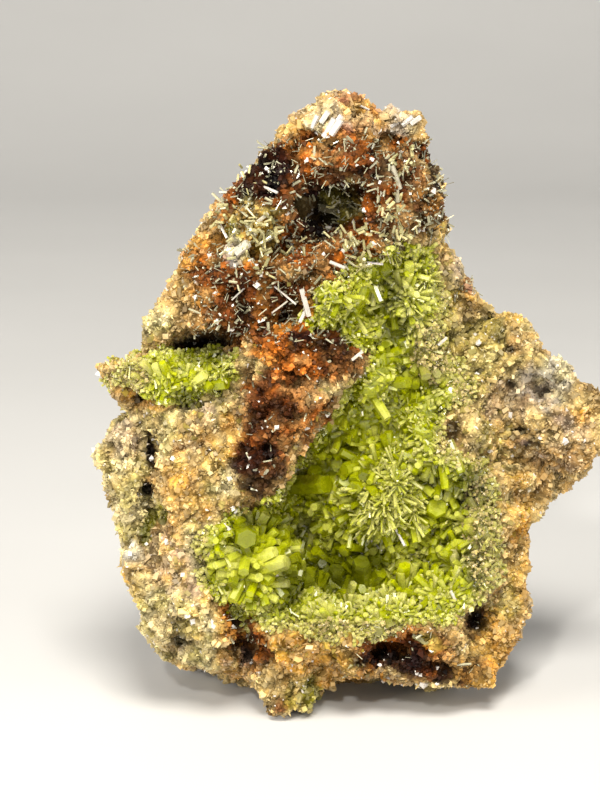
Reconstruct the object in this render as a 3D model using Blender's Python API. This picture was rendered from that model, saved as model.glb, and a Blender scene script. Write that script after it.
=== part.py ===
"""A pyromorphite specimen: a rough, iron-stained rock with an open pocket lined with lime-green crystals.

It has three solids. The matrix is the rock, with the dark ridge that hangs in front of the pocket. The pocket
crystals and the ledge crystals are crusts of six-sided prisms, each grown together into one piece.

The rock stands on its trimmed base at z = 0. X runs to the right of its best face, Y away from that face, and
Z up. Lengths in this script are millimetres, turned into metres as each mesh is made.
"""

import math
import random

import bmesh
import bpy
import numpy as np
from mathutils import Matrix, Vector, noise
from mathutils.bvhtree import BVHTree

MM = 0.001

# The places below, (x, z), are as its best face shows them from 15 degrees above. A point at depth y that is seen
# at height z stands at z - LEAN * y.
LEAN = math.tan(math.radians(15))

# The outline of the rock as its best face shows it, (x, z), clockwise from its peak.
OUTLINE = [
    (4, 81), (6.5, 80), (8, 78.5), (10, 79), (13, 78), (14.5, 77), (15, 75), (14, 73.5), (15.5, 71), (17, 68.5),
    (16.5, 66), (18, 63), (17, 61), (20, 56.5), (23, 53), (26, 52), (28, 49), (30.5, 47), (32, 47), (34, 43.5),
    (36, 42.5), (37.5, 40), (38, 37), (37, 34.5), (35, 32.5), (33, 30), (30, 28), (27.5, 24.5), (28, 19.5),
    (27, 17.5), (28, 15), (27, 12.5), (26, 10), (24, 6.5), (24, 4.5), (21, 3), (17, 3.5), (11, 4.5), (4, 5),
    (2.5, 3.5), (1.5, 1), (-0.5, 0), (-3, 0.5), (-5, 1.5), (-8, 4.5), (-10, 5.5), (-14, 6), (-17.5, 7),
    (-20, 9.5), (-21.5, 13), (-23, 17), (-24, 20.5), (-24.5, 26), (-26, 31.5), (-27, 34), (-25.5, 37.5),
    (-24.5, 39), (-23, 39), (-25.5, 43), (-27, 45), (-26, 46), (-23.5, 46), (-20.5, 47), (-21.5, 50),
    (-19, 54), (-17.5, 56.5), (-16, 60), (-14, 62.5), (-13, 65.5), (-9.5, 68.5), (-7.5, 71), (-4.5, 74),
    (-4, 76.5), (-2.5, 78), (0, 79),
]
# The mouth of the crystal pocket, (x, z).
POCKET = [
    (5, 59), (8, 60.5), (11, 61), (16, 60), (16, 56.5), (15, 51.5), (16, 48), (18, 46), (20, 43), (19, 41),
    (16, 40), (15, 38), (16, 34.5), (19, 33), (21, 32), (23.5, 28), (23, 23), (22, 18.5), (21, 15), (16, 13.5),
    (12, 12.5), (8, 10), (2.5, 10), (-4, 11.5), (-9, 13.5), (-12, 16), (-13.5, 20.5), (-13, 24), (-11, 26.5),
    (-7.5, 27.5), (-6, 30), (-4, 34), (-1, 38), (3, 42), (7, 45.5), (6, 48.5), (1, 50), (1, 53.5), (3.5, 55.5),
]
# The ledge on the left, under the overhang of the head, (x, z).
LEDGE = [(-26, 45), (-20, 46.5), (-14, 48), (-9, 47), (-9, 43), (-12, 40), (-16, 39.5), (-21, 42)]

# How far the front stands before the middle plane, and the bumps on it: (x, z, half width, half height, rise).
FRONT_BASE = 7.0
FRONT_BUMPS = [
    (-1, 66, 12, 11, 4), (-10, 56, 9, 7, 4), (11, 65, 6, 5, 3), (-17, 27, 8, 13, 5), (-13, 13, 8, 7, 5),
    (-2, 9, 10, 5, 6), (10, 8, 9, 5, 5), (20, 9, 6, 7, 3), (29, 39, 11, 16, -4.5), (17, 50, 6, 10, -3),
    (-24, 43, 5, 4, 2), (-9, 36, 4, 8, 3), (25, 24, 4, 9, 1.5), (-22, 34, 4, 5, 2),
]
# The pocket floor, in the same terms.
POCKET_BASE = -1.5
POCKET_BUMPS = [
    (12, 54, 6, 8, 6.5), (10, 29.5, 5.5, 5.5, 6), (21, 24, 4, 9, 3.5), (0, 13, 14, 4, 5), (-10, 20, 4, 7, 4.5),
    (8, 42, 5, 5, 3), (1, 21, 6, 4, -1.5), (17, 33, 3, 3, -1),
]
POCKET_WALL = 4.5
# The middle plane swings back on the right, towards the far tip.
RIGHT_SWING = 5.0
# Holes and clefts in the front: (x, z, half width, half height, depth).
CLEFTS = [
    (2.5, 65, 3.8, 3.2, 9), (-3, 60.5, 3, 2.2, 5), (-19.5, 25, 1.5, 5, 5), (-20, 34, 1.4, 4.5, 4),
    (-14.5, 47.8, 7, 1.6, 6), (-8.5, 10, 1.4, 5, 5), (-6.5, 5.5, 1.4, 3, 3), (10.5, 9.5, 4, 1.6, 5),
    (21, 11, 2.5, 3, 4), (25, 33, 5, 1.3, 4), (29, 42, 2, 1.4, 3), (-3, 50.5, 1.8, 1.6, 4), (-12, 61, 2.4, 1.8, 3),
    (-17, 9, 2, 2, 2.5), (22, 51, 2.5, 1.6, 3), (9.5, 72.5, 2.4, 1.8, 3),
]
# The back, broken along flat planes: (height at the middle, slope with x, slope with z).
BACK_PLANES = [(16.5, 0.04, -0.10), (19.5, -0.62, 0.0), (20, 0.7, 0.05), (18, 0.1, -0.42), (17.5, -0.12, 0.30)]
BACK_MIDDLE = (3.0, 38.0)
EDGE_ROUND = 8.0

# Lumps that stand out of the sheet-like body: (x, y, z, half width, half depth, half height).
RIDGE_LUMPS = [
    (-3, -8, 47, 7, 6.5, 5), (-2.5, -8.5, 42.5, 5.5, 5, 4.5), (-4, -10, 38.5, 4.6, 5, 5),
    (-5.4, -10.5, 34, 3.8, 4.6, 4.5), (-6, -11, 30.8, 2.8, 3.6, 3.2), (3.5, -7.5, 46.5, 4.5, 4, 2.6),
]
HEAD_LUMPS = [
    (3, -4, 70, 8, 9, 8), (-8, -4.5, 58.5, 7, 8, 6), (9, -5.5, 67, 6, 7.5, 6), (-13, -3, 52.5, 5, 6.5, 4.5),
    (-2, -6, 55.5, 8, 8, 6), (-2, -4, 65, 7, 7, 6),
]
SIDE_LUMPS = [
    (-18, -4, 31, 7, 8, 8), (-17, -5, 16, 6.5, 8, 7), (-23, -3, 44, 3.5, 5, 2.6), (23, 1, 12, 5, 8, 7),
    (31, 4, 38, 6, 7, 6), (25, 3, 46, 6, 7, 5), (-8, -5, 18, 3.5, 6, 8),
]
BASE_LUMPS = [
    (-2, -5, 5, 4, 5, 7), (12, 8, 9.6, 10, 8, 8.5), (-8, 8, 9.6, 10, 8, 8.5), (2, 9, 10.9, 13, 8, 10),
    (16, 2, 9, 8, 8, 7),
]
# The height at which the rock is trimmed flat.
BASE_CUT = 1.2

GRID_STEP = 0.9
VOXEL = 1.1
MATRIX_TRIANGLES = 4300
# Below this Z the rock may pass its outline, and above it only by this share of what it would.
BASE_TOP = 12.0
OUTLINE_GIVE = 0.25

# The crusts stand this far off the rock, and are this thick between their crystals.
CRUST_GAP = 0.32
CRUST_THICKNESS = 1.3
# A crust lies between these Ys: before the ridge's flank, and inside the rock.
CRUST_FRONT = -13.0
CRUST_BACK = 4.0
# Its surface between the crystals has this share of the rock's facets.
CRUST_FACETS = 0.25
# Edges and triangles narrower than this are taken out of the crusts.
SLIVER = 0.01
# The large crystals of each crust, by the place of their foot and the way they lean:
# (x, z, lean right, lean forward, lean up, length, radius).
POCKET_PRISMS = [
    (-7.5, 18.8, 0.8, 0.5, 0.4, 4.8, 1.0), (-8.5, 19.4, 0.75, 0.4, 0.5, 4.4, 0.9), (-12.9, 21.5, 0.9, 0.4, 0, 3.8, 0.7),
    (-7.8, 20.9, 0, 0.4, 0.9, 3.4, 0.6), (-0.3, 20.8, 0.1, 0.5, 0.85, 4.2, 0.6), (-6.5, 17.2, 0.9, 0.4, 0.15, 3.2, 0.6),
    (-6.2, 27.4, 0.4, 0.5, -0.7, 2.8, 0.6), (-8.8, 24.8, 0.1, 1, 0.1, 4, 1.5), (-3.8, 24, 0, 1, 0.2, 3.5, 1.5),
    (-0.6, 17.5, 0.1, 1, 0.3, 3, 1.5), (3.8, 18.9, 0, 1, 0.3, 3, 1.5), (4.5, 14.6, 0.2, 0.5, 0.8, 3.2, 0.6),
    (-2, 30, 0.7, 0.6, 0.2, 4.5, 1.5), (7.5, 42.2, 0.5, 0.5, -0.7, 3.2, 0.6), (11.8, 33.8, 0.9, 0.5, 0, 3, 0.6),
    (11.6, 32, 0.9, 0.5, 0, 3, 0.6), (16.4, 34.7, 0.1, 0.4, -0.9, 4, 0.6), (18.2, 35, 0.5, 0.4, -0.7, 3.2, 0.7),
    (18.6, 18.4, -0.2, 0.5, 0.8, 3.6, 0.6), (10.8, 20.2, 0.1, 1, 0.2, 3, 1.0), (6.4, 16.5, 0, 0.5, 0.85, 4.5, 1.3),
    (12.5, 23.6, 0.9, 0.5, -0.1, 3, 0.7), (8.8, 56.2, 0.55, 0.5, -0.6, 3.4, 0.6), (12.2, 55, 0, 0.5, 0.85, 3.8, 0.6),
    (4.8, 51.4, 0, 0.5, 0.85, 2.8, 0.4), (6.2, 52.2, 0.1, 0.5, 0.85, 3, 0.45),
]
LEDGE_PRISMS = [
    (-17.6, 42.4, -0.3, 0.5, 0.85, 3.6, 0.55), (-16.4, 42.7, -0.3, 0.5, 0.85, 3.6, 0.5),
    (-15.4, 42.2, 0.6, 0.5, 0.65, 3.8, 0.7), (-13.4, 43.5, 0.8, 0.6, 0.1, 3, 0.8),
]
# The smaller crystals between them: how many are tried, how far apart, their lengths and their radii.
POCKET_FILL = (1500, 2.7, (2.2, 4.8), (0.65, 1.15))
LEDGE_FILL = (250, 2.2, (1.6, 3.2), (0.45, 0.8))
# How a crystal that isn't in the lists leans: with the wall under it, towards the mouth, and at random.
LEAN_WALL = 0.8
LEAN_OUT = 0.4
LEAN_RANDOM = 0.75


def nearest_on(points, ring):
    """The nearest place on a closed ring to each (x, z), and how far each lies inside it, negative outside."""
    ring = np.array(ring, float)
    starts, ends = ring, np.roll(ring, -1, axis=0)
    along = ends - starts
    offset = points[:, None, :] - starts[None]
    share = np.clip((offset * along).sum(2) / (along**2).sum(1), 0, 1)
    away = offset - share[..., None] * along
    pick = np.linalg.norm(away, axis=2).argmin(1)
    away = away[np.arange(len(points)), pick]
    reach = np.linalg.norm(away, axis=1)
    above = (starts[:, 1] > points[:, None, 1]) != (ends[:, 1] > points[:, None, 1])
    with np.errstate(divide="ignore", invalid="ignore"):
        crossing = starts[:, 0] + (points[:, None, 1] - starts[:, 1]) * along[:, 0] / along[:, 1]
    inside = (above & (points[:, None, 0] < crossing)).sum(1) % 2 == 1
    return points - away, np.where(inside, reach, -reach)


def distance_inside(points, ring):
    return nearest_on(points, ring)[1]


def smooth(share):
    share = np.clip(share, 0, 1)
    return share * share * (3 - 2 * share)


def bumps(points, base, shapes):
    """A level with soft rises and hollows on it."""
    level = np.full(len(points), float(base))
    for x, z, half_x, half_z, rise in shapes:
        level += rise * np.exp(-(((points[:, 0] - x) / half_x) ** 2) - ((points[:, 1] - z) / half_z) ** 2)
    return level


def middle(points):
    """Y of the middle plane."""
    return RIGHT_SWING * smooth((points[:, 0] - 14) / 20)


def front_face(points):
    """Y of the rock's front at each (x, z)."""
    edge = np.sqrt(1 - (1 - np.clip(distance_inside(points, OUTLINE) / EDGE_ROUND, 0, 1)) ** 2)
    rise = edge * bumps(points, FRONT_BASE, FRONT_BUMPS)
    inside = smooth(distance_inside(points, POCKET) / POCKET_WALL)
    rise += inside * (bumps(points, POCKET_BASE, POCKET_BUMPS) - rise)
    return middle(points) - rise


def back_face(points):
    """Y of the rock's back at each (x, z)."""
    edge = np.sqrt(1 - (1 - np.clip(distance_inside(points, OUTLINE) / EDGE_ROUND, 0, 1)) ** 2)
    planes = [
        height + slope_x * (points[:, 0] - BACK_MIDDLE[0]) + slope_z * (points[:, 1] - BACK_MIDDLE[1])
        for height, slope_x, slope_z in BACK_PLANES
    ]
    return middle(points) + edge * np.clip(np.min(planes, axis=0), 4, None)


def mesh_object(name, mesh):
    obj = bpy.data.objects.new(name, mesh)
    bpy.context.scene.collection.objects.link(obj)
    return obj


def body_sheet():
    """The rock without its lumps: a grid of cells inside the outline, between its front and its back."""
    xs = np.arange(-30, 41, GRID_STEP)
    zs = np.arange(-2, 84, GRID_STEP)
    grid = np.stack(np.meshgrid(xs, zs, indexing="ij"), axis=-1).reshape(-1, 2)
    inside = (distance_inside(grid, OUTLINE) > 0).reshape(len(xs), len(zs))
    front, back = front_face(grid), back_face(grid)
    back = np.maximum(back, front + 0.5)
    body = bmesh.new()
    front_points, back_points = {}, {}

    def corner(store, column, row, depths):
        key = (column, row)
        if key not in store:
            at = column * len(zs) + row
            store[key] = body.verts.new((grid[at, 0], depths[at], grid[at, 1]))
        return store[key]

    for i in range(len(xs) - 1):
        for j in range(len(zs) - 1):
            if not (inside[i, j] and inside[i + 1, j] and inside[i, j + 1] and inside[i + 1, j + 1]):
                continue
            ring = [(i, j), (i + 1, j), (i + 1, j + 1), (i, j + 1)]
            body.faces.new([corner(front_points, *key, front) for key in ring])
            body.faces.new([corner(back_points, *key, back) for key in reversed(ring)])
    rims = [edge for edge in body.edges if edge.is_boundary]
    bmesh.ops.bridge_loops(body, edges=rims)
    return body


def add_lump(body, lump, rng):
    """One angular block, turned a little."""
    x, y, z, half_x, half_y, half_z = lump
    turn = Matrix.Rotation(rng.uniform(-0.4, 0.4), 4, "Y") @ Matrix.Rotation(rng.uniform(-0.4, 0.4), 4, "Z")
    place = Matrix.Translation((x, y, z)) @ turn @ Matrix.Diagonal((half_x, half_y, half_z, 1))
    block = bmesh.ops.create_icosphere(body, subdivisions=2, radius=1)["verts"]
    for corner in block:
        corner.co = place @ (corner.co * rng.uniform(0.9, 1.1))


def applied(obj):
    """The object with its modifiers made real."""
    graph = bpy.context.evaluated_depsgraph_get()
    mesh = bpy.data.meshes.new_from_object(obj.evaluated_get(graph))
    obj.modifiers.clear()
    obj.data = mesh
    return obj


def facets(place, size):
    """A surface of flat-sided bumps with sharp furrows between them, about this size across, within about 1."""
    near = noise.voronoi(place / size, distance_metric="MANHATTAN")[0][0]
    return 1 - 1.6 * near


def roughen(mesh):
    """Breaks the rock's surface into angular lumps about 9 mm and 4 mm across, calmer in the pocket."""
    places = np.array([vertex.co for vertex in mesh.vertices])
    in_pocket = smooth(distance_inside(places[:, ::2], POCKET) / 2) * (places[:, 1] < 8)
    normals = [vertex.normal.copy() for vertex in mesh.vertices]
    for vertex, normal, calm in zip(mesh.vertices, normals, in_pocket):
        place = Vector(vertex.co)
        swirl = 0.8 * noise.noise_vector(place / 4)
        push = 1.3 * facets(place + swirl, 9.0) + 0.9 * facets(place + swirl, 4.0)
        vertex.co = place + normal * push * (1 - 0.8 * calm)


def carve(mesh):
    """Sinks the holes and clefts into whatever faces the front."""
    places = np.array([vertex.co for vertex in mesh.vertices])
    facing = np.array([smooth(-vertex.normal.y / 0.5) for vertex in mesh.vertices])
    edge = np.clip(distance_inside(places[:, ::2], OUTLINE) / 3, 0, 1)
    for x, z, half_x, half_z, depth in CLEFTS:
        reach = ((places[:, 0] - x) / half_x) ** 2 + ((places[:, 2] - z) / half_z) ** 2
        places[:, 1] += facing * edge * depth * np.exp(-(reach**2))
    for vertex, place in zip(mesh.vertices, places):
        vertex.co = place


def hold_outline(mesh):
    """Draws in what has grown out of the outline, above the base."""
    places = np.array([vertex.co for vertex in mesh.vertices])
    nearest, inside = nearest_on(places[:, ::2], OUTLINE)
    for vertex, (x, z), depth in zip(mesh.vertices, nearest, inside):
        if depth < 0 and z > BASE_TOP:
            vertex.co.x = x + OUTLINE_GIVE * (vertex.co.x - x)
            vertex.co.z = z + OUTLINE_GIVE * (vertex.co.z - z)


def make_matrix():
    """The rock, in millimetres."""
    rng = random.Random(11)
    noise.seed_set(4)
    body = body_sheet()
    for lump in RIDGE_LUMPS + HEAD_LUMPS + SIDE_LUMPS + BASE_LUMPS:
        add_lump(body, lump, rng)
    mesh = bpy.data.meshes.new("matrix")
    body.to_mesh(mesh)
    body.free()
    rock = mesh_object("matrix", mesh)
    remesh = rock.modifiers.new("one skin", "REMESH")
    remesh.mode = "VOXEL"
    remesh.voxel_size = VOXEL
    applied(rock)
    roughen(rock.data)
    carve(rock.data)
    hold_outline(rock.data)
    coarse = rock.vertex_groups.new(name="under the crystals")
    places = np.array([vertex.co for vertex in rock.data.vertices])
    under = np.flatnonzero((distance_inside(places[:, ::2], POCKET) > 1) & (places[:, 1] < 8))
    coarse.add(range(len(places)), 0.3, "REPLACE")
    coarse.add(under.tolist(), 1, "REPLACE")
    thin = rock.modifiers.new("facets", "DECIMATE")
    thin.ratio = MATRIX_TRIANGLES / (2 * len(rock.data.polygons))
    thin.vertex_group = coarse.name
    thin.vertex_group_factor = 1
    applied(rock)
    for vertex in rock.data.vertices:
        vertex.co.z -= LEAN * vertex.co.y
    trim_base(rock.data)
    return rock


def trim_base(mesh):
    """Cuts the rock off flat at BASE_CUT, where it stands."""
    body = bmesh.new()
    body.from_mesh(mesh)
    everything = body.verts[:] + body.edges[:] + body.faces[:]
    cut = bmesh.ops.bisect_plane(
        body, geom=everything, plane_co=(0, 0, BASE_CUT), plane_no=(0, 0, -1), clear_outer=True
    )
    rim = [item for item in cut["geom_cut"] if isinstance(item, bmesh.types.BMEdge)]
    bmesh.ops.holes_fill(body, edges=rim)
    bmesh.ops.triangulate(body, faces=body.faces[:])
    body.to_mesh(mesh)
    body.free()


def front_normal(tree, place):
    """The rock's own direction near a place, evened out over about 2 mm."""
    total = Vector()
    for near in tree.find_nearest_range(place, 2.0):
        total += near[1]
    return total.normalized()


def rock_at(tree, x, z):
    """The place on the rock's front that is seen at (x, z)."""
    return tree.ray_cast(Vector((x, -40, z + 40 * LEAN)), Vector((0, 1, -LEAN)))[0]


def add_prism(body, foot, lean, length, radius, rng):
    """A six-sided prism with flat ends, its foot sunk in the rock."""
    turn = lean.to_track_quat("Z", "Y").to_matrix().to_4x4()
    spin = Matrix.Rotation(rng.uniform(0, math.tau / 6), 4, "Z")
    sunk = 1.5 * radius
    middle_of = Matrix.Translation(foot + lean * (length - sunk) / 2)
    bmesh.ops.create_cone(
        body, cap_ends=True, segments=6, radius1=0.8 * radius, radius2=radius, depth=length + sunk,
        matrix=middle_of @ turn @ spin,
    )


def crystals(tree, ring, listed, fill, rng):
    """All the prisms of a crust as one mesh: the listed ones, then smaller ones wherever there is room."""
    body = bmesh.new()
    feet = []
    for x, z, right, forward, up, length, radius in listed:
        foot = rock_at(tree, x, z)
        add_prism(body, foot, Vector((right, -forward, up)).normalized(), length + 1, radius, rng)
        feet.append((foot, 1.6 * radius))
    tries, spacing, lengths, radii = fill
    corners = np.array(ring, float)
    for _ in range(tries):
        x, z = (rng.uniform(low, high) for low, high in zip(corners.min(0), corners.max(0)))
        if distance_inside(np.array([[x, z]]), ring)[0] < 0.4:
            continue
        foot = rock_at(tree, x, z)
        if foot is None or any((foot - other).length < room + spacing / 2 for other, room in feet):
            continue
        wall = front_normal(tree, foot)
        stray = Vector([rng.gauss(0, 1) for _ in range(3)]).normalized()
        lean = (wall * LEAN_WALL + Vector((0, -1, 0)) * LEAN_OUT + stray * LEAN_RANDOM).normalized()
        add_prism(body, foot, lean, rng.uniform(*lengths), rng.uniform(*radii), rng)
        feet.append((foot, spacing / 2))
    return body


def swollen(rock, name, by):
    """The rock's mesh with its surface moved out."""
    mesh = rock.data.copy()
    places = [vertex.co + vertex.normal * by for vertex in mesh.vertices]
    for vertex, place in zip(mesh.vertices, places):
        vertex.co = place
    return mesh_object(name, mesh)


def ring_block(ring, name):
    """A block with a ring of (x, z) as its outline, from CRUST_FRONT to CRUST_BACK."""
    body = bmesh.new()
    front = [body.verts.new((x, CRUST_FRONT, z - LEAN * CRUST_FRONT)) for x, z in ring]
    outline = body.faces.new(front)
    block = bmesh.ops.extrude_face_region(body, geom=[outline])["geom"]
    ends = [item for item in block if isinstance(item, bmesh.types.BMVert)]
    depth = CRUST_BACK - CRUST_FRONT
    bmesh.ops.translate(body, verts=ends, vec=(0, depth, -LEAN * depth))
    bmesh.ops.recalc_face_normals(body, faces=body.faces[:])
    mesh = bpy.data.meshes.new(name)
    body.to_mesh(mesh)
    body.free()
    return mesh_object(name, mesh)


def combine(obj, other, operation):
    """Joins, cuts or crosses two solids and removes the second."""
    step = obj.modifiers.new(operation, "BOOLEAN")
    step.operation = operation
    step.solver = "EXACT"
    step.use_self = True
    step.object = other
    applied(obj)
    bpy.data.objects.remove(other)


def height(face):
    """The least height of a triangle."""
    return 2 * face.calc_area() / max(edge.calc_length() for edge in face.edges)


def collapse_short(body):
    """Takes out edges shorter than SLIVER, where that leaves the surface closed."""
    short = sorted((edge for edge in body.edges if edge.calc_length() < SLIVER), key=lambda edge: edge.calc_length())
    for edge in short:
        if not edge.is_valid:
            continue
        near = [{other.other_vert(end) for other in end.link_edges} for end in edge.verts]
        if len(near[0] & near[1]) == 2:
            bmesh.ops.collapse(body, edges=[edge])


def turn_thin(body):
    """Turns the long edge of each thin triangle, where that makes both of its triangles better."""
    for face in [face for face in body.faces if height(face) < SLIVER]:
        if not face.is_valid:
            continue
        edge = max(face.edges, key=lambda edge: edge.calc_length())
        pair = list(edge.link_faces)
        tips = [next(v for v in side.verts if v not in edge.verts) for side in pair]
        if len(pair) != 2 or body.edges.get(tips) or height(face) >= SLIVER:
            continue
        bmesh.ops.rotate_edges(body, edges=[edge])


def largest_piece(mesh):
    """Keeps the largest connected piece, in triangles, with its slivers taken out."""
    body = bmesh.new()
    body.from_mesh(mesh)
    bmesh.ops.triangulate(body, faces=body.faces[:])
    for _ in range(4):
        collapse_short(body)
        turn_thin(body)
    left = set(body.verts)
    pieces = []
    while left:
        piece = [left.pop()]
        for vertex in piece:
            for edge in vertex.link_edges:
                far = edge.other_vert(vertex)
                if far in left:
                    left.remove(far)
                    piece.append(far)
        pieces.append(piece)
    pieces.sort(key=len)
    for piece in pieces[:-1]:
        bmesh.ops.delete(body, geom=piece, context="VERTS")
    body.to_mesh(mesh)
    body.free()


def make_crust(name, rock, tree, ring, listed, fill, seed):
    """A crust of crystals grown together on the rock inside a ring, clear of it by CRUST_GAP."""
    crust = swollen(rock, name, CRUST_THICKNESS)
    thin = crust.modifiers.new("facets", "DECIMATE")
    thin.ratio = CRUST_FACETS
    applied(crust)
    combine(crust, ring_block(ring, name + " ring"), "INTERSECT")
    body = crystals(tree, ring, listed, fill, random.Random(seed))
    mesh = bpy.data.meshes.new(name + " prisms")
    body.to_mesh(mesh)
    body.free()
    combine(crust, mesh_object(name + " prisms", mesh), "UNION")
    combine(crust, swollen(rock, name + " room", CRUST_GAP), "DIFFERENCE")
    largest_piece(crust.data)
    return crust


def paint(obj, colour, roughness):
    """Gives an object a material of its own, called after it."""
    material = bpy.data.materials.new(obj.name)
    material.use_nodes = True
    shader = material.node_tree.nodes["Principled BSDF"]
    shader.inputs["Base Color"].default_value = (*colour, 1)
    shader.inputs["Roughness"].default_value = roughness
    shader.inputs["Metallic"].default_value = 0
    obj.data.materials.clear()
    obj.data.materials.append(material)


def main():
    for obj in list(bpy.data.objects):
        bpy.data.objects.remove(obj)
    rock = make_matrix()
    tree = BVHTree.FromPolygons([v.co for v in rock.data.vertices], [f.vertices for f in rock.data.polygons])
    pocket = make_crust("pocket_crystals", rock, tree, POCKET, POCKET_PRISMS, POCKET_FILL, 5)
    ledge = make_crust("ledge_crystals", rock, tree, LEDGE, LEDGE_PRISMS, LEDGE_FILL, 8)
    paint(rock, (0.42, 0.30, 0.16), 0.9)
    paint(pocket, (0.36, 0.52, 0.05), 0.25)
    paint(ledge, (0.45, 0.55, 0.10), 0.3)
    solids = [rock, pocket, ledge]
    places = np.array([vertex.co for obj in solids for vertex in obj.data.vertices])
    low, high = places.min(0), places.max(0)
    origin = Vector((*(low + high)[:2] / 2, low[2]))
    for obj in solids:
        obj.data.transform(Matrix.Scale(MM, 4) @ Matrix.Translation(-origin))


main()
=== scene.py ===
import math

import bpy
import numpy as np
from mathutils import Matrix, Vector
from mathutils.bvhtree import BVHTree


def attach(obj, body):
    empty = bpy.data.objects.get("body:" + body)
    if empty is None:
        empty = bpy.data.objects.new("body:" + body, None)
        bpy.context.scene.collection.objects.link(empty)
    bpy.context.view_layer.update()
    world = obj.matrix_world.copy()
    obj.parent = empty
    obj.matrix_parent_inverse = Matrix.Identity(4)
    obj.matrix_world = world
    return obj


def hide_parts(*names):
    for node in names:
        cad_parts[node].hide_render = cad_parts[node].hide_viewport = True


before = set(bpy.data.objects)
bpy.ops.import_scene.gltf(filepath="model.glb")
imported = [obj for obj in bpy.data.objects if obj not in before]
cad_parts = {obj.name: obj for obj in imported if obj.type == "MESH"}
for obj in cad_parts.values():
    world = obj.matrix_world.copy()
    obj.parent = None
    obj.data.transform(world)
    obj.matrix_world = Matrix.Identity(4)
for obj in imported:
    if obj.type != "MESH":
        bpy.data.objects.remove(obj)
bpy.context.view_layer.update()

# The looks of a pyromorphite specimen: an iron-stained rock, rough with small grains, whose pocket and ledge
# are lined with lime-green six-sided prisms. Lengths are in millimetres until a mesh is made.
MM = 0.001

# Camera. A view of 600 by 800 pixels shows 8 pixels for each millimetre at the middle of the specimen.
VIEW = (600, 800)
PIXELS_PER_MM = 8.0
CAMERA_DISTANCE = 330.0
CAMERA_RISE = math.radians(15)
AIM = np.array([-6.7, -0.97, 39.8])
SENSOR_HEIGHT = 24.0

# Colours, as sRGB from 0 to 255.
BEIGE = (232, 206, 140)
CREAM = (250, 236, 184)
TAN = (198, 156, 92)
OCHRE = (216, 148, 44)
GOLD = (238, 184, 78)
RUST = (190, 102, 22)
RED_BROWN = (102, 48, 14)
DARK_BROWN = (50, 20, 4)
PURPLE_BLACK = (30, 12, 14)
WHITE = (238, 232, 224)
PINK_GREY = (206, 180, 166)
LIME = (182, 188, 0)
PALE_LIME = (216, 214, 122)
DEEP_GREEN = (118, 124, 0)
OLIVE = (158, 148, 44)
YELLOW_GREEN = (210, 198, 120)

# The rock's outline, then the mouth of the crystal pocket and the ledge, in pixels of the view.
OUTLINE = [
    (340, 91), (362, 98), (376, 110), (389, 106), (422, 117), (429, 136), (422, 150), (434, 168),
    (444, 188), (443, 208), (452, 229), (446, 242), (471, 280), (496, 309), (517, 314), (529, 325),
    (536, 340), (553, 353), (564, 352), (583, 380), (600, 390), (611, 408), (613, 432), (604, 452),
    (576, 486), (552, 502), (531, 527), (529, 553), (534, 566), (524, 582), (532, 600), (528, 620),
    (500, 666), (501, 682), (477, 692), (399, 684), (366, 677), (342, 679), (330, 691), (321, 710),
    (306, 717), (288, 715), (256, 694), (246, 682), (196, 672), (170, 664), (148, 643), (139, 616),
    (140, 604), (125, 587), (120, 560), (115, 515), (101, 472), (92, 454), (102, 442), (113, 416),
    (126, 416), (120, 404), (105, 385), (95, 368), (101, 361), (123, 361), (147, 353), (137, 331),
    (146, 317), (171, 282), (180, 252), (196, 234), (208, 212), (234, 188), (251, 170), (262, 153),
    (275, 145), (280, 127), (289, 113), (310, 108), (325, 94),
]
POCKET = [
    (350, 268), (372, 256), (398, 252), (426, 255), (430, 285), (427, 322), (434, 345), (446, 362),
    (462, 385), (456, 400), (436, 408), (430, 424), (438, 451), (462, 462), (480, 470), (494, 501),
    (491, 540), (482, 575), (474, 598), (436, 611), (403, 622), (372, 637), (330, 636), (278, 624),
    (240, 608), (214, 590), (204, 560), (207, 534), (226, 518), (262, 514), (284, 504), (298, 482),
    (310, 458), (330, 430), (352, 402), (374, 374), (376, 345), (345, 336), (316, 326), (320, 306),
    (338, 290),
]
LEDGE = [(120, 372), (136, 366), (170, 360), (228, 360), (232, 374), (214, 390), (186, 396), (150, 388)]

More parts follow.
